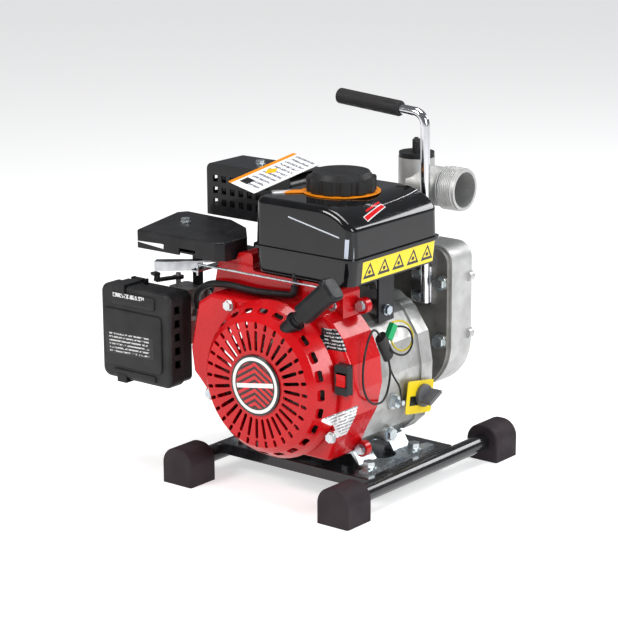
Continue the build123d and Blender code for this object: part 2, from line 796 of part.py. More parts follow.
lever_tip = (-186.0, -112.0)
with BuildPart() as throttle_lever:
    with BuildSketch(level(throttle_z)):
        with Locations((throttle_x, throttle_y)):
            Circle(8)
        with Locations((throttle_x, (throttle_y + rod_y) / 2 - 2)):
            RectangleRounded(11, throttle_y - rod_y + 8, 3)
        with BuildLine():
            Polyline(
                (throttle_x, throttle_y + 6), (throttle_x - 4, throttle_y - 6),
                (lever_tip[0] + 12, lever_tip[1] + 6),
                lever_tip, (lever_tip[0] - 5, lever_tip[1] + 10), close=True,
            )
        make_face()
    extrude(amount=2)
    with BuildSketch(level(throttle_z - 9)):
        with BuildLine():
            Polyline(
                lever_tip, (lever_tip[0] + 12, lever_tip[1] + 6), (throttle_x - 22, throttle_y - 24.5),
                (throttle_x - 23.4, throttle_y - 23), (lever_tip[0] + 10.6, lever_tip[1] + 7.6),
                (lever_tip[0] - 0.6, lever_tip[1] + 1.8), close=True,
            )
        make_face()
    extrude(amount=9)
    with Locations(Location((throttle_x, throttle_y, throttle_z + 1))):
        Cylinder(radius=3 + running, height=10, mode=Mode.SUBTRACT)
    with BuildSketch(level(throttle_z - 2)):
        with Locations((throttle_x, rod_y)):
            SlotOverall(5.6, 3.4, rotation=90)
    extrude(amount=6, mode=Mode.SUBTRACT)
keep(throttle_lever, "throttle_lever")

with BuildPart() as governor_rod:
    with BuildLine() as run:
        FilletPolyline(
            (throttle_x, rod_y, throttle_z - 5),
            (throttle_x, rod_y, rod_z),
            (arm_x, rod_y, rod_z),
            (arm_x, arm_y + 5, rod_z),
            radius=3,
        )
    with BuildSketch(Plane(origin=run.line @ 0, z_dir=run.line % 0)):
        Circle(rod_r)
    sweep()
keep(governor_rod, "governor_rod")

with BuildPart() as governor_arm:
    with BuildSketch(front(arm_y + 2.5)):
        with Locations((arm_x, arm_pivot_z)):
            Circle(6)
        with Locations((arm_x, (arm_pivot_z + rod_z) / 2 + 2)):
            RectangleRounded(9, rod_z - arm_pivot_z + 8, 2)
    extrude(amount=2)
    with BuildSketch(front(arm_y + 6)):
        with Locations((arm_x, arm_pivot_z)):
            Circle(2.5 + running)
        with Locations((arm_x, rod_z)):
            SlotOverall(8, 3.4, rotation=90)
    extrude(amount=8, mode=Mode.SUBTRACT)
keep(governor_arm, "governor_arm")

# ---------------------------------------------------------------- fuel tank

tank_wide = tank_right - tank_left
tank_length = tank_rear - tank_front
tank_middle = ((tank_left + tank_right) / 2, (tank_front + tank_rear) / 2)


def tank_shell(plane, inset, corner, height, taper, mode=Mode.ADD):
    """Rounded rectangular prism of the tank's outline, smaller by the inset all round."""
    with BuildSketch(plane) as outline:
        with Locations(tank_middle):
            RectangleRounded(tank_wide - 2 * inset, tank_length - 2 * inset, corner)
    extrude(outline.sketch, amount=height, taper=taper, mode=mode)


tank_outlet = (10.0, -99.5, 239.0)
shoulder_z = 303.0      # the right-hand shoulder slopes down to here
shoulder_x = 41.0
tank_inside = 300.0
with BuildPart() as fuel_tank:
    tank_shell(level(tank_seam - 1.5), 3, 12, tank_bottom - tank_seam + 1.5, 6)
    tank_shell(level(tank_seam), 3, 12, tank_top - tank_seam, 2)
    # The top falls to the right in one long curve
    with BuildSketch(front(tank_rear + 5)):
        with BuildLine():
            ThreePointArc((shoulder_x, tank_top), (shoulder_x + 34, tank_top - 8.5), (tank_right + 2, shoulder_z))
            Polyline(
                (tank_right + 2, shoulder_z), (tank_right + 9, shoulder_z),
                (tank_right + 9, tank_top + 5), (shoulder_x, tank_top + 5), (shoulder_x, tank_top),
            )
        make_face()
    extrude(amount=tank_length + 10, mode=Mode.SUBTRACT)
    fillet(fuel_tank.faces().sort_by(Axis.Z)[-1].edges(), radius=7)
    tank_shell(level(tank_seam - 1.5), 0, 13, 3, 0)
    tank_shell(level(tank_seam - 1.5), 6, 9, tank_bottom - tank_seam + 5, 6, Mode.SUBTRACT)
    tank_shell(level(tank_seam - 1.5), 6, 9, tank_inside - tank_seam, 2, Mode.SUBTRACT)
    with BuildSketch(level(tank_seam - 1.5)):
        with Locations((20, tank_rear + 11)):
            RectangleRounded(34, 22, 5)
    extrude(amount=3)
    with Locations(Location((cap_x, cap_y, tank_top + 3))):
        Cylinder(radius=25, height=12)
    with Locations(Location((cap_x, cap_y, tank_top - 15))):
        Cylinder(radius=20, height=50, mode=Mode.SUBTRACT)
    drill([seat(20, tank_rear + 12, tank_seam + 1.5, (0, 0, 1))], 3.1, 6)
    with Locations(Location((tank_outlet[0], tank_outlet[1], tank_outlet[2] + 7))):
        Cylinder(radius=2.5, height=14)
keep(fuel_tank, "fuel_tank")

cap_bottom = tank_top + 2
cap_top = 356.0
cap_r = 39.0
with BuildPart() as fuel_cap:
    with Locations(Location((cap_x, cap_y, (cap_bottom + cap_top - 6) / 2))):
        Cylinder(radius=cap_r, height=cap_top - 6 - cap_bottom)
    with BuildSketch(level(cap_bottom)):
        with Locations((cap_x, cap_y)):
            with PolarLocations(cap_r + 3.2, 12):
                Circle(6)
    extrude(amount=cap_top - cap_bottom, mode=Mode.SUBTRACT)
    with BuildSketch(level(cap_top - 6)):
        with Locations((cap_x, cap_y)):
            Circle(cap_r - 4)
    extrude(amount=6, taper=30)
    with Locations(Location((cap_x, cap_y, cap_bottom + 4.5))):
        Cylinder(radius=25.4, height=11, mode=Mode.SUBTRACT)
keep(fuel_cap, "fuel_cap")

post_y = pump_front - 7   # front face of the pump bracket
with BuildPart() as tank_bracket:
    block((66, -24, 190), (69, 4, tank_bottom))
    block((30, -24, tank_bottom - sheet), (69, 4, tank_bottom))
    block((8, tank_rear + 2, tank_seam - 4.5), (32, post_y, tank_seam - 1.5))
    block((8, post_y - sheet, 228), (30, post_y, tank_seam - 1.5))
    drill([seat(69, -10, 203, (1, 0, 0))], 3.1, 5)
    drill([seat(20, tank_rear + 12, tank_seam - 1.5, (0, 0, 1))], 3.1, 5)
    drill([seat(20, post_y - 3, 236, (0, -1, 0))], 3.1, 5)
keep(tank_bracket, "tank_bracket")

# ---------------------------------------------------------------- exhaust

guard_left = -209.0
guard_right = -84.0
guard_front = 8.0
guard_rear = 66.0
guard_top = 334.0
guard_bottom = 272.0
muffler_top = 327.0
muffler_bolt = (-150, 36)
with BuildPart() as muffler:
    block((guard_left + 12, guard_front + 8, 276), (guard_right - 5, guard_rear - 5, muffler_top))
    fillet(muffler.edges().filter_by(Axis.Y), radius=12)
    fillet(muffler.faces().filter_by(Axis.Y).edges(), radius=3)
    with BuildLine() as run:
        FilletPolyline(
            (head_x, 44, head_z), (head_x, 61, head_z), (head_x - 16, 54, 284),
            radius=11,
        )
    with BuildSketch(Plane(origin=run.line @ 0, z_dir=run.line % 0)):
        Circle(9)
    sweep()
    with BuildSketch(exhaust_plane):
        SlotOverall(40, 24)
    extrude(amount=4)
    drill([seat(*muffler_bolt, muffler_top, (0, 0, 1))], 3.1, 8)
keep(muffler, "muffler")

with BuildPart() as muffler_guard:
    block((guard_left, guard_front, guard_bottom), (guard_right, guard_rear, guard_top))
    fillet(muffler_guard.edges().filter_by(Axis.Y).group_by(Axis.Z)[-1].sort_by(Axis.X)[0], radius=8)
    block(
        (guard_left + 1.6, guard_front + 1.6, 0),
        (400, guard_rear - 1.6, guard_top - 1.6),
        mode=Mode.SUBTRACT,
    )
    with BuildSketch(front(guard_front + 3)):
        with Locations((guard_left + 52, guard_bottom + 30)):
            with GridLocations(13, 14, 7, 3):
                Rectangle(7, 8)
    extrude(amount=8, mode=Mode.SUBTRACT)
    with BuildSketch(side(guard_left - 3)):
        with Locations(((guard_front + guard_rear) / 2, guard_bottom + 30)):
            with GridLocations(13, 14, 3, 3):
                Rectangle(7, 8)
    extrude(amount=8, mode=Mode.SUBTRACT)
    disc(seat(*muffler_bolt, muffler_top, (0, 0, 1)), 8, guard_top - 1 - muffler_top)
    drill([seat(*muffler_bolt, guard_top, (0, 0, 1))], 3.1, 10)
keep(muffler_guard, "muffler_guard")

# ---------------------------------------------------------------- pump

pump_bolts = [(79, 217), (79, 148), (-87, 217), (-87, 148), (54, 96), (-62, 96), (42, 247), (-40, 247)]
pump_middle = ((pump_left + pump_right) / 2, (pump_bottom + pump_top) / 2)
pump_size = (pump_right - pump_left, pump_top - pump_bottom)


def pump_outline(plane, inset, depth, mode=Mode.ADD):
    """Extrude the casing's outline, with its deep round bottom corners."""
    with BuildSketch(plane) as outline:
        with Locations(pump_middle):
            Rectangle(pump_size[0] - 2 * inset, pump_size[1] - 2 * inset)
        fillet(outline.vertices().group_by(Axis.Y)[0], radius=60 - inset)
        fillet(outline.vertices().group_by(Axis.Y)[-1], radius=20 - inset)
    extrude(outline.sketch, amount=depth, mode=mode)


with BuildPart() as pump_bracket:
    pump_outline(front(pump_front), 2, 7)
    disc(crank_plane(pump_front), 60, 16)
    for x, z in pump_bolts:
        with BuildSketch(front(post_y)):
            with Locations((x, z)):
                Circle(9)
        extrude(amount=3)
    disc(crank_plane(pump_front), 60, pump_front - cover_rear)
    disc(crank_plane(pump_front + 1), 54, pump_front - cover_rear - 5, mode=Mode.SUBTRACT)
    disc(crank_plane(pump_front + 1), shaft_r + 3, 40, mode=Mode.SUBTRACT)
    drill([seat(x, cover_rear + 6, z, (0, 1, 0)) for x, z in adapter_studs], 3.1, 8)
    drill([seat(x, post_y - 3, z, (0, -1, 0)) for x, z in pump_bolts], 4.1, 12)
    drill([seat(x, post_y, z, (0, -1, 0)) for x, z in ((20, 236), (46, 198), (46, 226))], 3.1, 6)
keep(pump_bracket, "pump_bracket")

suction_end = 162.0
tower_top = 352.0
tower_bore = 17.0
with BuildPart() as pump_casing:
    pump_outline(front(pump_rear), 0, pump_rear - pump_front)
    fillet(pump_casing.faces().filter_by(Axis.Y).sort_by(Axis.Y)[-1].outer_wire().edges(), radius=6)
    for x, z in ((pump_right - 1, 218), (pump_right - 1, 150), (pump_left + 1, 218), (pump_left + 1, 150)):
        disc(seat(x, pump_rear - 4, z, (0, -1, 0)), 6, 9)
    disc(crank_plane(suction_end), port_r, thread_long)
    disc(crank_plane(suction_end - 1), neck_r, suction_end - pump_rear + 3)
    with Locations(Location((tower_x, tower_y, (pump_top + tower_top) / 2 - 6))):
        Cylinder(radius=21, height=tower_top - pump_top + 12)
    with Locations(Location((tower_x, tower_y, pump_top + 4))):
        Cone(bottom_radius=23, top_radius=21, height=16)
    disc(seat(tower_x, tower_y, port_z, (1, 0, 0)), neck_r, port_end - tower_x - 1)
    disc(seat(port_end - thread_long, tower_y, port_z, (1, 0, 0)), port_r, thread_long)
    # Inside: impeller chamber, priming chamber, ports and tower
    disc(crank_plane(pump_rear - 6), 47, pump_rear - pump_front - 12, mode=Mode.SUBTRACT)
    block((-84, pump_front + 6, 188), (76, pump_rear - 6, 250), mode=Mode.SUBTRACT)
    disc(crank_plane(suction_end + 1), port_bore, 40, mode=Mode.SUBTRACT)
    disc(crank_plane(pump_front + 20), shaft_r + 3, 40, mode=Mode.SUBTRACT)
    disc(seat(tower_x, tower_y, port_z, (1, 0, 0)), port_bore, 80, mode=Mode.SUBTRACT)
    with Locations(Location((tower_x, tower_y, (240 + tower_top + 2) / 2))):
        Cylinder(radius=tower_bore, height=tower_top + 2 - 240, mode=Mode.SUBTRACT)
    drill([seat(x, pump_front, z, (0, -1, 0)) for x, z in pump_bolts], 4.1, 12)
keep(pump_casing, "pump_casing")

with BuildPart() as shaft_seal:
    ring(crank_plane(pump_front + 6), shaft_r + 2.9, shaft_r + running, 12)
    ring(crank_plane(pump_front + 8), shaft_r + 8, shaft_r + running, 2)
keep(shaft_seal, "shaft_seal")

blade_count = 6
with BuildPart() as impeller:
    ring(crank_plane(106), 43, shaft_r, 4)
    ring(crank_plane(impeller_nose), 18, shaft_r, impeller_nose - 106)
    with BuildSketch(crank_plane(120)):
        with PolarLocations(28, blade_count):
            Rectangle(26, 4, rotation=28)
    extrude(amount=14)
keep(impeller, "impeller")

with BuildPart() as priming_cap:
    with Locations(Location((tower_x, tower_y, tower_top - 4))):
        Cylinder(radius=tower_bore - running, height=9)
    with Locations(Location((tower_x, tower_y, tower_top + 3))):
        Cylinder(radius=20.5, height=5.4)
    with BuildSketch(level(tower_top + 5)):
        with Locations(Location((tower_x, tower_y, 0), (0, 0, -52))):
            RectangleRounded(30, 5.4, 2)
            RectangleRounded(12, 10, 3)
    extrude(amount=15)
    fillet(priming_cap.faces().sort_by(Axis.Z)[-1].edges(), radius=1.5)
keep(priming_cap, "priming_cap")

# ---------------------------------------------------------------- carrying handle

handle_r = 5.5
handle_y = post_y - handle_r
handle_foot = (60.0, 192.0)
handle_elbow = (56.8, 410.0)
handle_end = (-62.0, 418.5)
with BuildPart() as handle_rod:
    with BuildLine() as run:
        FilletPolyline(
            (handle_foot[0], handle_y, handle_foot[1]),
            (handle_elbow[0], handle_y, handle_elbow[1]),
            (handle_end[0], handle_y, handle_end[1]),
            radius=15,
        )
    with BuildSketch(Plane(origin=run.line @ 0, z_dir=run.line % 0)):
        Circle(handle_r)
    sweep()
    block((38, post_y - 3, 190), (66, post_y, 234))
    drill([seat(46, post_y - 3, z, (0, -1, 0)) for z in (198, 226)], 3.1, 5)
keep(handle_rod, "handle_rod")

grip_dir = (handle_end[0] - handle_elbow[0], 0, handle_end[1] - handle_elbow[1])
grip_plane = Plane(origin=(handle_end[0], handle_y, handle_end[1]), x_dir=(0, 1, 0), z_dir=grip_dir)
with BuildPart() as handle_grip:
    disc(grip_plane.offset(-86), 9, 89)
    fillet(handle_grip.edges().filter_by(GeomType.CIRCLE), radius=2.5)
    disc(grip_plane.offset(-90), handle_r, 90, mode=Mode.SUBTRACT)
keep(handle_grip, "handle_grip")

# ---------------------------------------------------------------- fasteners

m6_bolts = (
    [(seat(x, case_front - 8, z, (0, -1, 0)), 7.5) for x, z in cover_tabs]
    + [(seat(x, rim_rear - 3, z, (0, -1, 0)), 5) for x, z in recoil_bolts]
    + [(seat(x, case_rear + 10, z, (0, 1, 0)), 20) for x, z in case_studs]
    + [(seat(x, cover_rear + 6, z, (0, 1, 0)), 10) for x, z in adapter_studs]
    + [(seat(46, post_y - 3, z, (0, -1, 0)), 8) for z in (198, 226)]
    + [
        (seat(20, post_y - 3, 236, (0, -1, 0)), 8),
        (seat(69, -10, 203, (1, 0, 0)), 12),
        (seat(20, tank_rear + 12, tank_seam + 1.5, (0, 0, 1)), 6),
        (seat(*control_bolt, cover_top, (0, 0, 1)), 23),
        (seat(*lobe_bolt, bracket_z + 2, (0, 0, 1)), 4),
        (seat(*muffler_bolt, guard_top, (0, 0, 1)), 12),
    ]
)
with BuildPart() as flange_bolts_m6:
    for plane, shank in m6_bolts:
        flange_bolt(plane, 6, shank)
keep(flange_bolts_m6, "flange_bolts_m6")

m8_bolts = (
    [(seat(x, y, deck_z + sheet, (0, 0, 1)), 7) for x, y in bracket_bolts]
    + [(seat(x, y, mount_z - sheet, (0, 0, -1)), 12) for x, y in engine_bolts]
    + [(seat(x, post_y - 3, z, (0, -1, 0)), 16) for x, z in pump_bolts]
    + [(seat(78, -16, 61, (1, 0, 0)), 8)]
)
with BuildPart() as flange_bolts_m8:
    for plane, shank in m8_bolts:
        flange_bolt(plane, 8, shank)
keep(flange_bolts_m8, "flange_bolts_m8")

# ---------------------------------------------------------------- hose, wires, card


def bend_radii(route):
    """Largest even arcs for a route: 0.45 of the shorter run over tan(half the turn)."""
    radii = []
    for before, here, after in zip(route, route[1:], route[2:]):
        one = Vector(*here) - Vector(*before)
        two = Vector(*after) - Vector(*here)
        turn = math.radians(one.get_angle(two))
        radii.append(0.45 * min(one.length, two.length) / math.tan(turn / 2))
    return radii


def tube(route, radius):
    """Round tube along straight runs joined by tangent arcs."""
    radii = bend_radii(route)
    with BuildLine() as path:
        FilletPolyline(*route, radius=radii)
    with BuildSketch(Plane(origin=path.line @ 0, z_dir=path.line % 0)) as section:
        Circle(radius)
    sweep(section.sketch, path=path.wires()[0])
    print("bend radii", [round(r, 1) for r in radii], "length", round(path.wires()[0].length, 1))
    print("section times length", round(math.pi * radius**2 * path.wires()[0].length, 1))


hose_route = [
    tank_outlet, (9, -99.5, 228.5), (-11, -99.9, 226.8), (-47, -100.4, 224.4), (-84, -101, 226.6),
    (-111, -100, 223.5), (-130, -95, 214), (-142, -88, 203), (-149, -81, 194), inlet,
]
with BuildPart() as fuel_hose:
    tube(hose_route, 4.0)
print("volume", round(fuel_hose.part.volume, 1))
keep(fuel_hose, "fuel_hose")

switch_wire_route = [
    (95, -56, 187), (98, -67, 196), (102, -79, 200), (106, -91, 194), (108, -101, 179), (109, -106, 160),
    (109, -105, 141), (108, -96, 126), (105, -80, 116), (101, -60, 113), (96, -45, 117), (93, -36, 128),
    (92, -32.5, 142), (90.5, -35, 156),
]
with BuildPart() as switch_wire:
    tube(switch_wire_route, 1.2)
print("volume", round(switch_wire.part.volume, 1))
keep(switch_wire, "switch_wire")

sensor_wire_route = [(90, -33.6, 157.8), (91, -33, 145), (92, -26, 132), (94, -17, 119), (95.3, -16, 104.2)]
with BuildPart() as sensor_lead:
    tube(sensor_wire_route, 1.0)
    print("volume", round(sensor_lead.part.volume, 1))
    # Taped bundle and a plug connector at the wire's upper end
    with BuildSketch(Plane(origin=(94, -54, 185), z_dir=(-0.12, 0.6, -0.8))):
        Ellipse(8, 5)
    extrude(amount=34)
    with Locations(Location((91, -31, 186), (-35, 0, 0))):
        Box(6, 9, 18)
keep(sensor_lead, "sensor_lead")

card_corner = Vector(-102, -78, 337.5)
card_up = Vector(30, 78, 24)
card_right = Vector(73, -28, -3.5)
card_size = (60.0, 88.0)
with BuildPart() as hang_card:
    middle = card_corner + card_right.normalized() * (card_size[0] / 2)
    middle += card_up.normalized() * (card_size[1] / 2)
    with BuildSketch(Plane(origin=middle, x_dir=card_right, z_dir=card_right.cross(card_up))):
        RectangleRounded(*card_size, 2)
    extrude(amount=0.6)
    # Flat strap round the filler neck
    with BuildSketch(level(tank_top + 0.4)):
        with Locations((cap_x, cap_y)):
            Circle(44)
        with Locations(Location((cap_x - 34, cap_y - 33, 0), (0, 0, 45))):
            RectangleRounded(60, 16, 3)
        with Locations((cap_x, cap_y)):
            Circle(25.6, mode=Mode.SUBTRACT)
    extrude(amount=0.8)
keep(hang_card, "hang_card")
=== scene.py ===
import math

import bmesh
import bpy
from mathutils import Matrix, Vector


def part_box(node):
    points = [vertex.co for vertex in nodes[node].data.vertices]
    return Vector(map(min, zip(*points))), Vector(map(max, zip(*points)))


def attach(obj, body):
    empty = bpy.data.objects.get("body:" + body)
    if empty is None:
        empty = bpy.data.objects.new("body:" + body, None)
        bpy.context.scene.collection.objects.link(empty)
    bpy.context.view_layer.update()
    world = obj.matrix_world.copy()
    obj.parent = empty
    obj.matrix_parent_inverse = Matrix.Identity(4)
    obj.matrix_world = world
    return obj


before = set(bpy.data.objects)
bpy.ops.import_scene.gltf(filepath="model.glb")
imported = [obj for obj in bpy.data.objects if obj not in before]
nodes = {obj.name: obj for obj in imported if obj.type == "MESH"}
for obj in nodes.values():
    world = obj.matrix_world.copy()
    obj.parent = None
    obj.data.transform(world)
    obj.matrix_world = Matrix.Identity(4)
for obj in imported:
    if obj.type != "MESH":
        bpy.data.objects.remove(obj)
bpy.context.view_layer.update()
scene = bpy.context.scene


# camera and lights

cameraView = {
    "place": (1.58588, -1.97058, 0.85209),
    "target": (0.061, 0.0, 0.150),
    "lens": 131.96,
    "shift": (-0.0548, 0.0553),
    "sensor": 36,
    "farthest": 50,
    "gamma": 0.86,
}
cameraData = bpy.data.cameras.new("camera")
cameraData.sensor_width = cameraView["sensor"]
cameraData.lens = cameraView["lens"]
cameraData.shift_x, cameraData.shift_y = cameraView["shift"]
cameraData.clip_end = cameraView["farthest"]
camera = bpy.data.objects.new("camera", cameraData)
scene.collection.objects.link(camera)
camera.location = cameraView["place"]
aim = Vector(cameraView["target"]) - Vector(cameraView["place"])
camera.rotation_euler = aim.to_track_quat("-Z", "Y").to_euler()
scene.camera = camera
scene.view_settings.view_transform = "Standard"
scene.view_settings.gamma = cameraView["gamma"]

studioAir = {"colour": (0.93, 0.95, 1.0), "strength": 0.24}
world = bpy.data.worlds.new("studio")
world.use_nodes = True
background = world.node_tree.nodes["Background"]
background.inputs["Color"].default_value = (*studioAir["colour"], 1)
background.inputs["Strength"].default_value = studioAir["strength"]
scene.world = world

softboxes = {
    "keyLight": {"place": (-0.7, -1.9, 1.6), "size": (0.9, 0.9), "power": 34, "colour": (1.0, 0.98, 0.95)},
    "fillLight": {"place": (2.1, -0.5, 1.1), "size": (0.7, 1.2), "power": 26, "colour": (0.95, 0.98, 1.0)},
    "topLight": {"place": (0.1, 0.2, 2.2), "size": (1.2, 0.9), "power": 26, "colour": (1.0, 1.0, 1.0)},
    "rimLight": {"place": (0.9, 1.9, 1.3), "size": (0.9, 0.8), "power": 16, "colour": (1.0, 1.0, 1.0)},
}
lightTarget = Vector((0, 0, 0.18))
for boxName, box in softboxes.items():
    lightData = bpy.data.lights.new(boxName, "AREA")
    lightData.shape = "RECTANGLE"
    lightData.size, lightData.size_y = box["size"]
    lightData.energy = box["power"]
    lightData.color = box["colour"]
    light = bpy.data.objects.new(boxName, lightData)
    scene.collection.objects.link(light)
    light.location = box["place"]
    light.rotation_euler = (lightTarget - light.location).to_track_quat("-Z", "Y").to_euler()
print("camera and lights set")


# helpers for the finishes

def calc(tree, operation, first, second=None):
    node = tree.nodes.new("ShaderNodeMath")
    node.operation = operation
    for socket, value in zip(node.inputs, (first, second)):
        if value is None:
            continue
        if isinstance(value, (int, float)):
            socket.default_value = value
        else:
            tree.links.new(value, socket)
    return node.outputs[0]


def blendColour(tree, factor, first, second):
    node = tree.nodes.new("ShaderNodeMix")
    node.data_type = "RGBA"
    for index, value in ((0, factor), (6, first), (7, second)):  # 6 and 7 are the colour sockets
        if isinstance(value, (int, float)):
            node.inputs[index].default_value = value
        elif isinstance(value, tuple):
            node.inputs[index].default_value = (*value, 1)
        else:
            tree.links.new(value, node.inputs[index])
    return node.outputs[2]


def noise(tree, point, scale, detail=4.0, rough=0.55):
    node = tree.nodes.new("ShaderNodeTexNoise")
    node.inputs["Scale"].default_value = scale
    node.inputs["Detail"].default_value = detail
    node.inputs["Roughness"].default_value = rough
    tree.links.new(point, node.inputs["Vector"])
    return node.outputs["Fac"]


def spread(tree, value, low, high, outLow, outHigh):
    node = tree.nodes.new("ShaderNodeMapRange")
    tree.links.new(value, node.inputs["Value"])
    for name, number in zip(("From Min", "From Max", "To Min", "To Max"), (low, high, outLow, outHigh)):
        node.inputs[name].default_value = number
    return node.outputs["Result"]


def placed(tree, point, at, half, turn=(0, 0, 0)):
    # a point measured from the middle of a box, in half sizes
    node = tree.nodes.new("ShaderNodeMapping")
    node.vector_type = "TEXTURE"
    node.inputs["Location"].default_value = at
    node.inputs["Rotation"].default_value = [math.radians(angle) for angle in turn]
    node.inputs["Scale"].default_value = half
    tree.links.new(point, node.inputs["Vector"])
    parts = tree.nodes.new("ShaderNodeSeparateXYZ")
    tree.links.new(node.outputs[0], parts.inputs[0])
    return parts.outputs


def insideBox(tree, parts):
    far = calc(tree, "MAXIMUM", calc(tree, "ABSOLUTE", parts[0]), calc(tree, "ABSOLUTE", parts[1]))
    far = calc(tree, "MAXIMUM", far, calc(tree, "ABSOLUTE", parts[2]))
    return calc(tree, "LESS_THAN", far, 1.0)


smallPrint = {"rowShare": 0.55, "gapScale": 420, "gapShare": 0.44, "margin": 0.84}


def printedLines(tree, point, across, up, rows):
    # rows of broken dashes in place of words
    row = calc(tree, "FRACT", calc(tree, "MULTIPLY", calc(tree, "ADD", up, 1.0), rows / 2))
    ink = calc(tree, "GREATER_THAN", row, smallPrint["rowShare"])
    broken = noise(tree, point, smallPrint["gapScale"], 1.0)
    gap = calc(tree, "GREATER_THAN", broken, smallPrint["gapShare"])
    margin = calc(tree, "LESS_THAN", calc(tree, "ABSOLUTE", across), smallPrint["margin"])
    return calc(tree, "MULTIPLY", calc(tree, "MULTIPLY", ink, gap), margin)


triangleSign = {
    "steep": 1.5, "lift": 0.85, "foot": -1.05, "outside": 0.70, "inside": 0.42,
    "dotDrop": 0.12, "dot": 0.035,
}


def signRow(tree, across, up, count):
    # a row of outlined triangles with a dot inside
    cell = calc(tree, "FRACT", calc(tree, "MULTIPLY", calc(tree, "ADD", across, 1.0), count / 2))
    side = calc(tree, "MULTIPLY", calc(tree, "ABSOLUTE", calc(tree, "SUBTRACT", cell, 0.5)), 2.0)
    steep = calc(tree, "MULTIPLY", side, triangleSign["steep"])
    slope = calc(tree, "ADD", steep, calc(tree, "MULTIPLY", up, triangleSign["lift"]))
    reach = calc(tree, "MAXIMUM", slope, calc(tree, "MULTIPLY", up, triangleSign["foot"]))
    outer = calc(tree, "LESS_THAN", reach, triangleSign["outside"])
    rim = calc(tree, "MULTIPLY", outer, calc(tree, "GREATER_THAN", reach, triangleSign["inside"]))
    low = calc(tree, "ADD", up, triangleSign["dotDrop"])
    spot = calc(tree, "ADD", calc(tree, "MULTIPLY", side, side), calc(tree, "MULTIPLY", low, low))
    return calc(tree, "MAXIMUM", rim, calc(tree, "LESS_THAN", spot, triangleSign["dot"]))


# what a finish has unless its own dictionary says otherwise
usualLook = {
    "mottleScale": 45, "speckScale": 1500, "glossScale": 90, "grainScale": 900, "swing": 0.08,
    "metal": 0.0, "shine": 0.35, "coat": 0.0, "coatRough": 0.06, "relief": 0.2, "depth": 0.0004,
}
mottleRange = (0.35, 0.65)  # the stretch of the noise that each effect uses
speckRange = (0.6, 0.72)
glossRange = (0.3, 0.7)
speckStrength = 0.6
pebbleHeight = 1.2
faceAxes = {"x": (1, 2), "y": (0, 2), "z": (0, 1)}  # across and up on a printed area


def finish(name, ownLook):
    # one finish: mottled colour with any printed areas and painted reflections laid on as patches, uneven
    # gloss, grain in relief
    look = {**usualLook, **ownLook}
    material = bpy.data.materials.new(name)
    material.use_nodes = True
    tree = material.node_tree
    shader = tree.nodes["Principled BSDF"]
    point = tree.nodes.new("ShaderNodeTexCoord").outputs["Object"]
    mottle = spread(tree, noise(tree, point, look["mottleScale"]), *mottleRange, 0, 1)
    colour = blendColour(tree, mottle, look["colour"], look["shade"])
    if "speck" in look:
        dots = noise(tree, point, look["speckScale"], 2.0)
        dots = spread(tree, dots, *speckRange, 0, speckStrength)
        colour = blendColour(tree, dots, colour, look["speck"])
    for patch in look.get("patches", ()):
        parts = placed(tree, point, patch["at"], patch["half"], patch.get("turn", (0, 0, 0)))
        inside = insideBox(tree, parts)
        ink = patch["colour"]
        across, up = [parts[index] for index in faceAxes[patch.get("faces", "y")]]
        if patch.get("rows"):
            ink = blendColour(tree, printedLines(tree, point, across, up, patch["rows"]), ink, patch["ink"])
        if patch.get("signs"):
            ink = blendColour(tree, signRow(tree, across, up, patch["signs"]), ink, patch["ink"])
        colour = blendColour(tree, inside, colour, ink)
    tree.links.new(colour, shader.inputs["Base Color"])
    gloss = noise(tree, point, look["glossScale"], 5.0)
    uneven = spread(tree, gloss, *glossRange, look["rough"] - look["swing"], look["rough"] + look["swing"])
    tree.links.new(uneven, shader.inputs["Roughness"])
    shader.inputs["Metallic"].default_value = look["metal"]
    shader.inputs["Specular IOR Level"].default_value = look["shine"]
    shader.inputs["Coat Weight"].default_value = look["coat"]
    shader.inputs["Coat Roughness"].default_value = look["coatRough"]
    grain = noise(tree, point, look["grainScale"], 6.0, 0.6)
    if look.get("pebbled"):
        cells = tree.nodes.new("ShaderNodeTexVoronoi")
        cells.inputs["Scale"].default_value = look["pebbled"]
        tree.links.new(point, cells.inputs["Vector"])
        grain = calc(tree, "ADD", grain, calc(tree, "MULTIPLY", cells.outputs["Distance"], pebbleHeight))
    if look.get("brushed"):
        stretch = tree.nodes.new("ShaderNodeMapping")
        stretch.inputs["Scale"].default_value = look["brushed"]
        tree.links.new(point, stretch.inputs["Vector"])
        grain = calc(tree, "ADD", grain, noise(tree, stretch.outputs[0], 1.0, 3.0))
    relief = tree.nodes.new("ShaderNodeBump")
    relief.inputs["Strength"].default_value = look["relief"]
    relief.inputs["Distance"].default_value = look["depth"]
    tree.links.new(grain, relief.inputs["Height"])
    tree.links.new(relief.outputs[0], shader.inputs["Normal"])
    return material


def wear(material, *names):
    for name in names:
        piece = nodes[name]
        if not piece.material_slots:
            piece.data.materials.append(material)
        for place in piece.material_slots:
            place.material = material


# base and feet

railPaint = {
    "colour": (0.012, 0.012, 0.014), "shade": (0.022, 0.022, 0.025), "rough": 0.22, "swing": 0.07,
    "coat": 0.8, "coatRough": 0.08, "relief": 0.12, "depth": 0.0003, "grainScale": 260,
}
wear(finish("railPaint", railPaint), "rail_left", "rail_right", "cross_channel")

footRubber = {
    "colour": (0.030, 0.021, 0.026), "shade": (0.045, 0.033, 0.038), "speck": (0.075, 0.062, 0.067),
    "rough": 0.62, "swing": 0.12, "relief": 0.45, "depth": 0.0004, "grainScale": 1100, "pebbled": 700,
}
wear(finish("footRubber", footRubber), "foot_front_left", "foot_front_right",
     "foot_rear_left", "foot_rear_right")

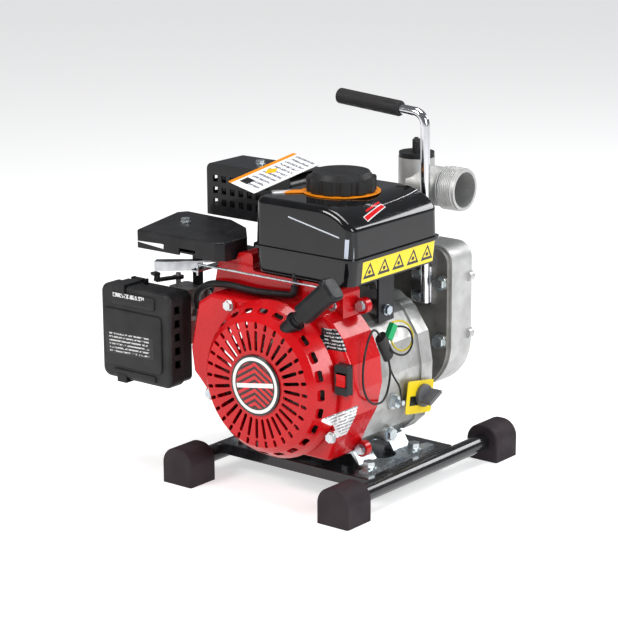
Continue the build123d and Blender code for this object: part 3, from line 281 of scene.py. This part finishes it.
zincPlate = {
    "colour": (0.50, 0.56, 0.62), "shade": (0.66, 0.70, 0.70), "speck": (0.72, 0.70, 0.55),
    "speckScale": 260, "metal": 0.92, "rough": 0.30, "swing": 0.10, "relief": 0.18, "depth": 0.0003,
    "brushed": (40, 1400, 1400),
}
wear(finish("zincPlate", zincPlate), "engine_bracket", "flange_bolts_m6", "flange_bolts_m8",
     "governor_rod", "governor_arm", "oil_sensor")
print("base finished")


# engine castings

castAluminium = {
    "colour": (0.60, 0.60, 0.59), "shade": (0.46, 0.46, 0.45), "speck": (0.36, 0.36, 0.35),
    "speckScale": 900, "metal": 0.75, "rough": 0.42, "swing": 0.10, "relief": 0.5, "depth": 0.0005,
    "grainScale": 750,
}
wear(finish("castAluminium", castAluminium), "crankcase", "side_cover", "cylinder", "cylinder_head",
     "piston", "carburettor")

darkCast = {
    "colour": (0.34, 0.33, 0.31), "shade": (0.24, 0.235, 0.22), "speck": (0.18, 0.17, 0.16),
    "metal": 0.7, "rough": 0.5, "swing": 0.1, "relief": 0.6, "depth": 0.0006, "grainScale": 620,
}
wear(finish("darkCast", darkCast), "pump_bracket", "impeller", "flywheel")

turnedSteel = {
    "colour": (0.58, 0.59, 0.61), "shade": (0.47, 0.48, 0.50), "metal": 1.0, "rough": 0.26, "swing": 0.08,
    "relief": 0.15, "depth": 0.0002, "brushed": (1600, 60, 60),
}
wear(finish("turnedSteel", turnedSteel), "crankshaft", "valve_cover", "spark_plug", "throttle_lever")
print("engine finished")


# red shrouds

platePrint = (0.55, 0.55, 0.56)
redShell = {
    "colour": (0.60, 0.004, 0.009), "shade": (0.52, 0.003, 0.007), "mottleScale": 14,
    "rough": 0.26, "swing": 0.05, "coat": 0.35, "coatRough": 0.05, "shine": 0.4, "relief": 0.10,
    "depth": 0.0004, "grainScale": 180,
    "patches": (
        {"at": (0.1455, -0.118, 0.1935), "half": (0.0225, 0.004, 0.0115), "turn": (0, -1, 0),
         "colour": (0.016, 0.016, 0.018), "rows": 6, "ink": platePrint},
        {"at": (0.157, -0.118, 0.104), "half": (0.0195, 0.016, 0.0125), "turn": (0, -27, 0),
         "colour": (0.82, 0.82, 0.82), "rows": 8, "ink": (0.25, 0.25, 0.27)},
    ),
}
wear(finish("redShell", redShell), "fan_cover", "recoil_cover")

# measured in centimetres from the crankshaft's line
badgePaint = {
    "middle": (0.057, 0.0, 0.135), "unit": (0.01, 0.01, 0.01), "field": 2.62, "line": 2.78, "ring": 3.18,
    "red": (0.60, 0.008, 0.012), "dark": (0.03, 0.004, 0.006), "cream": (0.80, 0.79, 0.76),
    "black": (0.02, 0.02, 0.02), "white": (0.78, 0.77, 0.75),
    "stripeLean": 0.6, "stripePitch": 1.35, "stripeShare": 0.55, "bandTilt": 0.16, "bandHalf": 0.26,
    "glossScale": 120, "rough": (0.22, 0.34), "coat": 0.6,
}
badge = bpy.data.materials.new("badgePaint")
badge.use_nodes = True
tree = badge.node_tree
shader = tree.nodes["Principled BSDF"]
point = tree.nodes.new("ShaderNodeTexCoord").outputs["Object"]
parts = placed(tree, point, badgePaint["middle"], badgePaint["unit"])
acrossSquared = calc(tree, "MULTIPLY", parts[0], parts[0])
upSquared = calc(tree, "MULTIPLY", parts[2], parts[2])
reach = calc(tree, "SQRT", calc(tree, "ADD", acrossSquared, upSquared))
slope = calc(tree, "MULTIPLY", calc(tree, "ABSOLUTE", parts[0]), badgePaint["stripeLean"])
steps = calc(tree, "MULTIPLY", calc(tree, "ADD", slope, parts[2]), badgePaint["stripePitch"])
stripe = calc(tree, "GREATER_THAN", calc(tree, "FRACT", steps), badgePaint["stripeShare"])
colour = blendColour(tree, stripe, badgePaint["red"], badgePaint["dark"])
tilted = calc(tree, "SUBTRACT", parts[2], calc(tree, "MULTIPLY", parts[0], badgePaint["bandTilt"]))
band = calc(tree, "LESS_THAN", calc(tree, "ABSOLUTE", tilted), badgePaint["bandHalf"])
colour = blendColour(tree, band, colour, badgePaint["cream"])
for edge, paint in (("field", "black"), ("line", "white"), ("ring", "black")):
    past = calc(tree, "GREATER_THAN", reach, badgePaint[edge])
    colour = blendColour(tree, past, colour, badgePaint[paint])
tree.links.new(colour, shader.inputs["Base Color"])
gloss = noise(tree, point, badgePaint["glossScale"])
tree.links.new(spread(tree, gloss, *glossRange, *badgePaint["rough"]), shader.inputs["Roughness"])
shader.inputs["Coat Weight"].default_value = badgePaint["coat"]
wear(badge, "badge")
print("shrouds finished")


# plastics and rubber

smoothPlastic = {
    "colour": (0.016, 0.016, 0.018), "shade": (0.026, 0.026, 0.028), "rough": 0.34, "swing": 0.07,
    "relief": 0.16, "depth": 0.0003, "grainScale": 1300,
}
wear(finish("smoothPlastic", smoothPlastic), "switch_base", "rope_collar", "starter_grip", "rope_pulley",
     "choke_lever", "intake_elbow", "air_cleaner_base", "top_clip", "bottom_clip")

cleanerPlastic = {
    "colour": (0.026, 0.026, 0.028), "shade": (0.040, 0.040, 0.042), "rough": 0.46, "swing": 0.08,
    "relief": 0.35, "depth": 0.0003, "grainScale": 1500, "pebbled": 1200,
    "patches": (
        {"at": (-0.1485, -0.130, 0.1405), "half": (0.0370, 0.006, 0.0125), "turn": (0, -2, 0),
         "colour": (0.050, 0.050, 0.052), "rows": 6, "ink": (0.60, 0.60, 0.60)},
        {"at": (-0.1480, -0.130, 0.1955), "half": (0.0290, 0.006, 0.0055), "turn": (0, -1, 0),
         "colour": (0.030, 0.030, 0.032), "rows": 1, "ink": (0.68, 0.68, 0.68)},
    ),
}
cleaner = finish("cleanerPlastic", cleanerPlastic)
wear(cleaner, "air_cleaner_cover")

controlPlastic = dict(smoothPlastic, rough=0.40, patches=(
    {"at": (-0.122, -0.118, 0.2640), "half": (0.0205, 0.012, 0.0026), "turn": (0, 5, 0),
     "colour": (0.80, 0.80, 0.80)},
    {"at": (-0.122, -0.118, 0.2672), "half": (0.0230, 0.013, 0.0026), "turn": (0, -2, 0),
     "colour": (0.018, 0.018, 0.020)},
))
wear(finish("controlPlastic", controlPlastic), "control_cover")

capPlastic = dict(
    smoothPlastic, colour=(0.022, 0.022, 0.023), shade=(0.034, 0.034, 0.035), rough=0.48, pebbled=1500,
)
wear(finish("capPlastic", capPlastic), "fuel_cap", "priming_cap")

gripRubber = dict(footRubber, colour=(0.020, 0.019, 0.020), shade=(0.030, 0.028, 0.030), rough=0.55)
wear(finish("gripRubber", gripRubber), "handle_grip", "shaft_seal")

hoseRubber = dict(gripRubber, rough=0.38, relief=0.2, grainScale=700)
wear(finish("hoseRubber", hoseRubber), "fuel_hose", "switch_wire")

leadSleeve = dict(hoseRubber, brushed=(30, 30, 900), patches=(
    {"at": (0.152, -0.031, 0.186), "half": (0.008, 0.009, 0.011), "faces": "x",
     "colour": (0.02, 0.42, 0.16)},
))
wear(finish("leadSleeve", leadSleeve), "sensor_lead")

dipstickPlastic = dict(smoothPlastic, colour=(0.13, 0.13, 0.14), shade=(0.18, 0.18, 0.19), rough=0.42)
wear(finish("dipstickPlastic", dipstickPlastic), "dipstick")

rockerPlastic = dict(smoothPlastic, colour=(0.62, 0.012, 0.014), shade=(0.50, 0.008, 0.010), rough=0.25)
wear(finish("rockerPlastic", rockerPlastic), "switch_rocker")

filterFoam = dict(footRubber, colour=(0.06, 0.06, 0.06), shade=(0.09, 0.09, 0.09), rough=0.8, relief=0.8)
wear(finish("filterFoam", filterFoam), "air_filter")

starterCord = dict(footRubber, colour=(0.62, 0.61, 0.58), shade=(0.45, 0.44, 0.42), rough=0.75, relief=0.6)
wear(finish("starterCord", starterCord), "starter_rope")

tagPrint = {
    "colour": (0.86, 0.66, 0.02), "shade": (0.80, 0.60, 0.015), "rough": 0.35, "swing": 0.06, "relief": 0.1,
    "patches": (
        {"at": (0.1515, 0.018, 0.094), "half": (0.004, 0.012, 0.0055), "turn": (-9, 0, 0), "faces": "x",
         "colour": (0.015, 0.015, 0.015)},
        {"at": (0.1515, 0.024, 0.103), "half": (0.004, 0.004, 0.0035), "turn": (-35, 0, 0), "faces": "x",
         "colour": (0.015, 0.015, 0.015)},
    ),
}
wear(finish("tagPrint", tagPrint), "oil_tag")

cardTurn = (16, 2.6, -21)
cardOrange = (0.86, 0.30, 0.01)
cardPrint = {
    "colour": (0.84, 0.85, 0.86), "shade": (0.80, 0.81, 0.83), "rough": 0.36, "swing": 0.05, "relief": 0.06,
    "patches": (
        {"at": (0.0052, -0.0492, 0.3483), "half": (0.024, 0.040, 0.012), "turn": cardTurn,
         "faces": "z", "colour": (0.84, 0.85, 0.86), "rows": 11, "ink": (0.22, 0.22, 0.26)},
        {"at": (-0.0225, -0.0398, 0.3494), "half": (0.0036, 0.047, 0.012), "turn": cardTurn,
         "colour": cardOrange},
        {"at": (-0.0176, -0.0726, 0.3405), "half": (0.0085, 0.0055, 0.012), "turn": cardTurn,
         "colour": (0.02, 0.02, 0.02)},
        {"at": (-0.0050, -0.0455, 0.3489), "half": (0.0060, 0.0060, 0.012), "turn": (16, 2.6, 24),
         "colour": (0.90, 0.52, 0.02)},
        {"at": (0.0760, -0.0220, 0.3350), "half": (0.0440, 0.0500, 0.0035), "colour": cardOrange},
    ),
}
wear(finish("cardPrint", cardPrint), "hang_card")
print("plastics finished")


# tank, exhaust, pump and handle

tankPaintWithReflections = {
    "colour": (0.006, 0.006, 0.007), "shade": (0.010, 0.010, 0.012), "rough": 0.10, "swing": 0.04,
    "coat": 0.6, "coatRough": 0.03, "shine": 0.35, "relief": 0.06, "depth": 0.0004, "grainScale": 140,
    "patches": (
        {"at": (0.155, -0.0165, 0.2625), "half": (0.010, 0.0665, 0.0118), "faces": "x",
         "colour": (0.86, 0.68, 0.008), "signs": 5, "ink": (0.012, 0.012, 0.012)},
        # painted reflections: the next three bluish-white patches are softbox reflections painted onto the
        # gloss front face, one thin streak along the top and two short strokes down near the right corner
        {"at": (0.1000, -0.1065, 0.3095), "half": (0.036, 0.008, 0.0008), "turn": (0, 11, 0),
         "colour": (0.55, 0.58, 0.63)},
        {"at": (0.1450, -0.1065, 0.2915), "half": (0.0022, 0.008, 0.0105), "turn": (0, 2, 0),
         "colour": (0.50, 0.54, 0.62)},
        {"at": (0.1540, -0.1010, 0.2910), "half": (0.0030, 0.004, 0.0100), "colour": (0.55, 0.58, 0.64)},
        {"at": (0.1400, -0.0460, 0.3210), "half": (0.0030, 0.0230, 0.020), "turn": (0, 0, 12),
         "colour": (0.70, 0.70, 0.70)},
        {"at": (0.1400, -0.0460, 0.3210), "half": (0.0020, 0.0218, 0.020), "turn": (0, 0, 12),
         "colour": (0.62, 0.01, 0.015)},
        {"at": (0.1330, -0.0400, 0.3230), "half": (0.0012, 0.0170, 0.020), "turn": (0, 0, 12),
         "colour": (0.62, 0.01, 0.015)},
    ),
}
wear(finish("tankPaintWithReflections", tankPaintWithReflections), "fuel_tank")

bracketPaint = dict(railPaint, rough=0.36, coat=0.3)
wear(finish("bracketPaint", bracketPaint), "tank_bracket", "muffler_guard", "control_bracket", "muffler")

pumpCast = {
    "colour": (0.62, 0.62, 0.61), "shade": (0.52, 0.52, 0.51), "speck": (0.42, 0.42, 0.41),
    "speckScale": 1100, "metal": 0.55, "rough": 0.46, "swing": 0.08, "relief": 0.45, "depth": 0.0005,
    "grainScale": 900,
}
pump = finish("pumpCast", pumpCast)
wear(pump, "pump_casing")

handleChrome = {
    "colour": (0.78, 0.78, 0.80), "shade": (0.70, 0.70, 0.73), "metal": 1.0, "rough": 0.09, "swing": 0.04,
    "relief": 0.05, "depth": 0.0002, "brushed": (80, 80, 900),
}
wear(finish("handleChrome", handleChrome), "handle_rod")
print("tank and pump finished")


# pieces made here

def meshPiece(name, mesh, material, body):
    data = bpy.data.meshes.new(name)
    mesh.to_mesh(data)
    mesh.free()
    data.materials.append(material)
    for face in data.polygons:
        face.use_smooth = True
    piece = bpy.data.objects.new(name, data)
    scene.collection.objects.link(piece)
    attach(piece, body)
    return piece


thread = {"pitch": 0.0025, "turns": 9, "steps": 40, "crest": 0.0250, "root": 0.0236,
          "flatHalf": 0.08, "footHalf": 0.45}
threadedPorts = {
    "dischargeThread": {"start": (0.1242, 0.113, 0.321), "along": (1, 0, 0)},
    "suctionThread": {"start": (0.057, 0.1365, 0.135), "along": (0, 1, 0)},
}


def threadRidge(name, port):
    # a V-shaped ridge wound round the stub
    mesh = bmesh.new()
    start = Vector(port["start"])
    axis = Vector(port["along"])
    out = Vector((0, 0, 1))
    corners = (
        (-thread["footHalf"], thread["root"]), (-thread["flatHalf"], thread["crest"]),
        (thread["flatHalf"], thread["crest"]), (thread["footHalf"], thread["root"]),
    )
    ends = [
        mesh.verts.new(start + axis * (shift * thread["pitch"]) + out * reach)
        for shift, reach in corners
    ]
    mesh.faces.new(ends)
    bmesh.ops.spin(
        mesh, geom=mesh.verts[:] + mesh.edges[:] + mesh.faces[:], cent=start, axis=axis,
        dvec=axis * (thread["pitch"] / thread["steps"]), angle=math.tau * thread["turns"],
        steps=thread["steps"] * thread["turns"], use_merge=False,
    )
    bmesh.ops.recalc_face_normals(mesh, faces=mesh.faces)
    return meshPiece(name, mesh, pump, "frame")


for portName, port in threadedPorts.items():
    threadRidge(portName, port)
print("threads made")

cleanerPanels = {
    "middle": {"at": (-0.144, 0.147), "size": (0.090, 0.068), "corner": 0.006},
    "upper": {"at": (-0.142, 0.1945), "size": (0.066, 0.015), "corner": 0.004},
    "lower": {"at": (-0.142, 0.1055), "size": (0.066, 0.008), "corner": 0.003},
}
panelShape = {"depth": 0.0052, "sunk": 0.0004, "edge": 0.0012}
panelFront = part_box("air_cleaner_cover")[0][1]
for panelName, panel in cleanerPanels.items():
    mesh = bmesh.new()
    bmesh.ops.create_cube(mesh, size=1.0)
    bmesh.ops.scale(mesh, vec=(panel["size"][0], panelShape["depth"], panel["size"][1]), verts=mesh.verts)
    acrossEdges = [
        edge for edge in mesh.edges
        if abs((edge.verts[0].co - edge.verts[1].co).y) > panelShape["depth"] / 2
    ]
    bmesh.ops.bevel(
        mesh, geom=acrossEdges, offset=panel["corner"], segments=5, profile=0.5, affect="EDGES", material=-1,
    )
    face = min(mesh.faces, key=lambda f: f.calc_center_median().y)
    bmesh.ops.bevel(
        mesh, geom=face.edges[:], offset=panelShape["edge"], segments=3, profile=0.5,
        affect="EDGES", material=-1,
    )
    middle = (panel["at"][0], panelFront + panelShape["sunk"], panel["at"][1])
    bmesh.ops.translate(mesh, vec=middle, verts=mesh.verts)
    meshPiece(panelName + "CleanerPanel", mesh, cleaner, "frame")
print("cleaner panels made")

wires = {
    "yellowWire": {"colour": (0.75, 0.62, 0.02), "shade": (0.66, 0.52, 0.02), "radius": 0.0010, "route": (
        (0.152, -0.031, 0.177), (0.153, -0.028, 0.168), (0.156, -0.016, 0.160), (0.158, -0.002, 0.163),
        (0.158, 0.004, 0.176), (0.156, -0.004, 0.190), (0.153, -0.018, 0.197), (0.150, -0.029, 0.195),
    )},
    "blackWire": {"colour": (0.015, 0.015, 0.015), "shade": (0.03, 0.03, 0.03), "radius": 0.0011, "route": (
        (0.154, -0.044, 0.183), (0.157, -0.043, 0.172), (0.159, -0.030, 0.160), (0.160, -0.012, 0.156),
        (0.159, 0.002, 0.166), (0.158, -0.002, 0.182), (0.155, -0.014, 0.190), (0.152, -0.026, 0.190),
    )},
}
for wireName, wire in wires.items():
    line = bpy.data.curves.new(wireName, "CURVE")
    line.dimensions = "3D"
    line.bevel_depth = wire["radius"]
    line.bevel_resolution = 4
    line.use_fill_caps = True
    run = line.splines.new("NURBS")
    run.points.add(len(wire["route"]) - 1)
    for spot, place in zip(run.points, wire["route"]):
        spot.co = (*place, 1)
    run.order_u = 3
    run.use_endpoint_u = True
    run.resolution_u = 12
    sleeve = dict(hoseRubber, colour=wire["colour"], shade=wire["shade"])
    line.materials.append(finish(wireName + "Sleeve", sleeve))
    lead = bpy.data.objects.new(wireName, line)
    scene.collection.objects.link(lead)
    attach(lead, "frame")
print("wires made")


# floor

floorPaint = {"colour": (0.62, 0.62, 0.62), "shade": (0.60, 0.60, 0.60), "rough": 0.6, "relief": 0.02}
floorLook = {"half": 25, "glow": 0.60}
floorMesh = bmesh.new()
bmesh.ops.create_grid(floorMesh, x_segments=1, y_segments=1, size=floorLook["half"])
floorData = bpy.data.meshes.new("floor")
floorMesh.to_mesh(floorData)
floorMesh.free()
floor = bpy.data.objects.new("floor", floorData)
scene.collection.objects.link(floor)
floorMaterial = finish("floorPaint", floorPaint)
floorShader = floorMaterial.node_tree.nodes["Principled BSDF"]
floorShader.inputs["Emission Color"].default_value = (1, 1, 1, 1)
floorShader.inputs["Emission Strength"].default_value = floorLook["glow"]
floorData.materials.append(floorMaterial)

print("scene ready")
